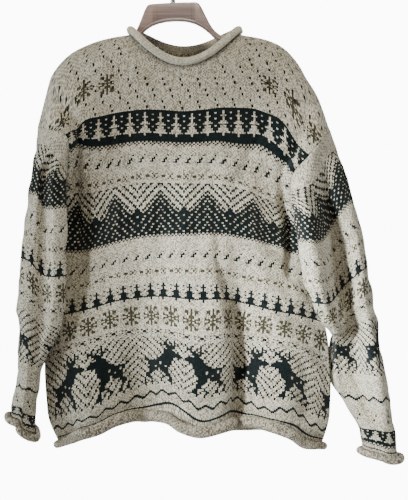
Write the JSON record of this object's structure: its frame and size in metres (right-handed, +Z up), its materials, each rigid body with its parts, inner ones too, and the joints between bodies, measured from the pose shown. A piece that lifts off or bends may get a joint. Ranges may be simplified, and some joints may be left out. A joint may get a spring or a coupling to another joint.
{
  "type": "graphic sweater on a hanger",
  "caption": "Knitted drop-shoulder pullover with a rolled neck, hem and cuffs, hanging open and empty on a flat wooden hanger with a wire hook.",
  "frame": {"origin": "The inside top of the hook, where it hangs on its rail.", "axes": "+Z is up, along the garment's length. The front faces -Y, and +X is to the right as seen from the front."},
  "size_m": [0.7015, 0.1798, 0.8673],
  "materials": {
    "wool": "matt marled wool, stranded colourwork",
    "wood": "satin varnish",
    "steel": "plated wire"
  },
  "bodies": {
    "root": {"front": "wool", "back": "wool", "sleeve_left": "wool", "sleeve_right": "wool", "collar": "wool", "hanger": "wood", "hook": "steel", "ferrule": "steel"}
  },
  "joints": []
}
